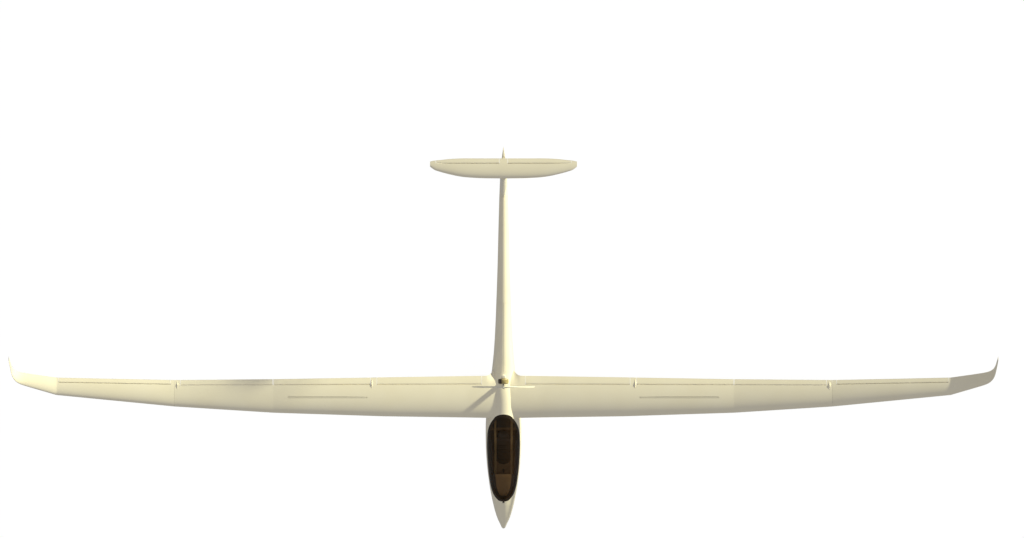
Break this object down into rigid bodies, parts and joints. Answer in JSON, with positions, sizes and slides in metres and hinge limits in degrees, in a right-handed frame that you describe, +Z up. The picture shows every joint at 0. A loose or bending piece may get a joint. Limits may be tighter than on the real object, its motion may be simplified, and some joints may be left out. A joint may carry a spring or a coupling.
{
  "type": "single-seat self-launching sailplane glider",
  "caption": "Single-seat sailplane with a T-tail, long tapered wings with winglets and flaps, a tinted canopy and a raised motor pylon, parked on its wheels and one wing tip.",
  "frame": {"origin": "on the floor, under the centre of the parked aircraft's bounding box", "axes": "+X towards the left wing tip, -Y the way the nose points, +Z up; the aircraft itself is leaned about its main wheel so that its tail wheel and left tip skid stand on the floor"},
  "size_m": [17.778, 7.0813, 3.4135],
  "materials": {
    "white_gelcoat": "polished gelcoat",
    "tinted_acrylic": "brown tinted acrylic",
    "dark_leather": "matt dark leather",
    "seat_fabric": "woven seat fabric",
    "tyre_rubber": "matt rubber",
    "cast_aluminium": "cast",
    "painted_steel": "satin paint",
    "motor_casing": "anodised, bronze",
    "white_blade": "painted composite",
    "dark_frame": "dark moulded frame"
  },
  "bodies": {
    "airframe": {"control_stick": "dark_leather", "engine_bay_door_left": "white_gelcoat", "engine_bay_door_right": "white_gelcoat", "fin": "white_gelcoat", "fuselage_front": "white_gelcoat", "gear_door_left": "white_gelcoat", "gear_door_right": "white_gelcoat", "headrest": "dark_leather", "instrument_hood": "dark_leather", "main_gear_fork": "painted_steel", "motor": "motor_casing", "pylon": "white_gelcoat", "seat": "seat_fabric", "tail_boom": "white_gelcoat", "tail_wheel_fork": "painted_steel", "tailplane": "white_gelcoat", "wing_inner_left": "white_gelcoat", "wing_inner_right": "white_gelcoat", "wing_outer_left": "white_gelcoat", "wing_outer_right": "white_gelcoat"},
    "canopy": {"canopy_frame": "dark_frame", "canopy_glass": "tinted_acrylic"},
    "rudder": {"rudder": "white_gelcoat"},
    "elevator": {"elevator_left": "white_gelcoat", "elevator_right": "white_gelcoat"},
    "main_wheel": {"main_wheel_tyre": "tyre_rubber", "main_wheel_hub": "cast_aluminium"},
    "tail_wheel": {"tail_wheel_tyre": "tyre_rubber", "tail_wheel_hub": "cast_aluminium"},
    "propeller": {"propeller": "white_blade"},
    "flap_inner_left": {"flap_inner_left": "white_gelcoat"},
    "flap_middle_left": {"flap_middle_left": "white_gelcoat"},
    "flap_outer_left": {"flap_outer_left": "white_gelcoat"},
    "aileron_left": {"aileron_left": "white_gelcoat"},
    "airbrake_left": {"airbrake_left": "white_gelcoat"},
    "flap_inner_right": {"flap_inner_right": "white_gelcoat"},
    "flap_middle_right": {"flap_middle_right": "white_gelcoat"},
    "flap_outer_right": {"flap_outer_right": "white_gelcoat"},
    "aileron_right": {"aileron_right": "white_gelcoat"},
    "airbrake_right": {"airbrake_right": "white_gelcoat"}
  },
  "joints": [
    {"name": "canopy_open", "type": "hinge", "parent": "airframe", "child": "canopy", "pos_m": [-0.17021, -3.03469, 0.92839], "axis": [0.9877, 0, -0.1564], "range_deg": [0, 55]},
    {"name": "flap_inner_left_tilt", "type": "hinge", "parent": "airframe", "child": "flap_inner_left", "pos_m": [0.21379, -0.8576, 0.79588], "axis": [-0.9924, -0.0015, 0.1229], "range_deg": [-12, 40]},
    {"name": "flap_middle_left_tilt", "type": "hinge", "parent": "airframe", "child": "flap_middle_left", "pos_m": [2.21959, -0.85415, 0.54725], "axis": [-0.9922, -0.0005, 0.1245], "range_deg": [-12, 40]},
    {"name": "flap_outer_left_tilt", "type": "hinge", "parent": "airframe", "child": "flap_outer_left", "pos_m": [3.98772, -0.85315, 0.32584], "axis": [-0.9964, -0.0058, 0.085], "range_deg": [-12, 40]},
    {"name": "aileron_left_tilt", "type": "hinge", "parent": "airframe", "child": "aileron_left", "pos_m": [5.84478, -0.82539, 0.16729], "axis": [-0.9981, -0.0324, 0.0521], "range_deg": [-20, 20]},
    {"name": "airbrake_left_slide", "type": "slide", "parent": "airframe", "child": "airbrake_left", "axis": [0.1549, 0.1381, 0.9782], "range_m": [0, 0.055]},
    {"name": "flap_inner_right_tilt", "type": "hinge", "parent": "airframe", "child": "flap_inner_right", "pos_m": [-0.57636, -0.8576, 0.92102], "axis": [-0.9818, 0.0015, 0.1898], "range_deg": [-12, 40]},
    {"name": "flap_middle_right_tilt", "type": "hinge", "parent": "airframe", "child": "flap_middle_right", "pos_m": [-2.56083, -0.85415, 1.30434], "axis": [-0.9821, 0.0005, 0.1882], "range_deg": [-12, 40]},
    {"name": "flap_outer_right_tilt", "type": "hinge", "parent": "airframe", "child": "flap_outer_right", "pos_m": [-4.31085, -0.85315, 1.64012], "axis": [-0.9739, 0.0058, 0.2271], "range_deg": [-12, 40]},
    {"name": "aileron_right_tilt", "type": "hinge", "parent": "airframe", "child": "aileron_right", "pos_m": [-6.12602, -0.82539, 2.06315], "axis": [-0.9654, 0.0324, 0.2589], "range_deg": [-20, 20]},
    {"name": "airbrake_right_slide", "type": "slide", "parent": "airframe", "child": "airbrake_right", "axis": [0.1549, 0.1381, 0.9782], "range_m": [0, 0.055]},
    {"name": "rudder_swing", "type": "hinge", "parent": "airframe", "child": "rudder", "pos_m": [-0.30023, 3.04882, 0.10744], "axis": [0.1523, 0.2268, 0.962], "range_deg": [-30, 30]},
    {"name": "elevator_tilt", "type": "hinge", "parent": "airframe", "child": "elevator", "pos_m": [-0.10898, 3.25969, 1.31498], "axis": [-0.9877, 0, 0.1564], "range_deg": [-25, 20]},
    {"name": "main_wheel_spin", "type": "hinge", "parent": "airframe", "child": "main_wheel", "pos_m": [-0.289, -1.5352, 0.17836], "axis": [0.9877, 0, -0.1564], "continuous": true},
    {"name": "tail_wheel_spin", "type": "hinge", "parent": "airframe", "child": "tail_wheel", "pos_m": [-0.30161, 2.76487, 0.09868], "axis": [0.9877, 0, -0.1564], "continuous": true},
    {"name": "propeller_spin", "type": "hinge", "parent": "airframe", "child": "propeller", "pos_m": [-0.07513, -0.82657, 1.52876], "axis": [-0.0216, 0.9904, -0.1364], "continuous": true}
  ],
  "couplings": [
    {"joint": "flap_middle_left_tilt", "follows": "flap_inner_left_tilt", "ratio": 1},
    {"joint": "flap_outer_left_tilt", "follows": "flap_inner_left_tilt", "ratio": 1},
    {"joint": "flap_inner_right_tilt", "follows": "flap_inner_left_tilt", "ratio": 1},
    {"joint": "flap_middle_right_tilt", "follows": "flap_inner_left_tilt", "ratio": 1},
    {"joint": "flap_outer_right_tilt", "follows": "flap_inner_left_tilt", "ratio": 1},
    {"joint": "aileron_right_tilt", "follows": "aileron_left_tilt", "ratio": -1},
    {"joint": "airbrake_right_slide", "follows": "airbrake_left_slide", "ratio": 1}
  ]
}
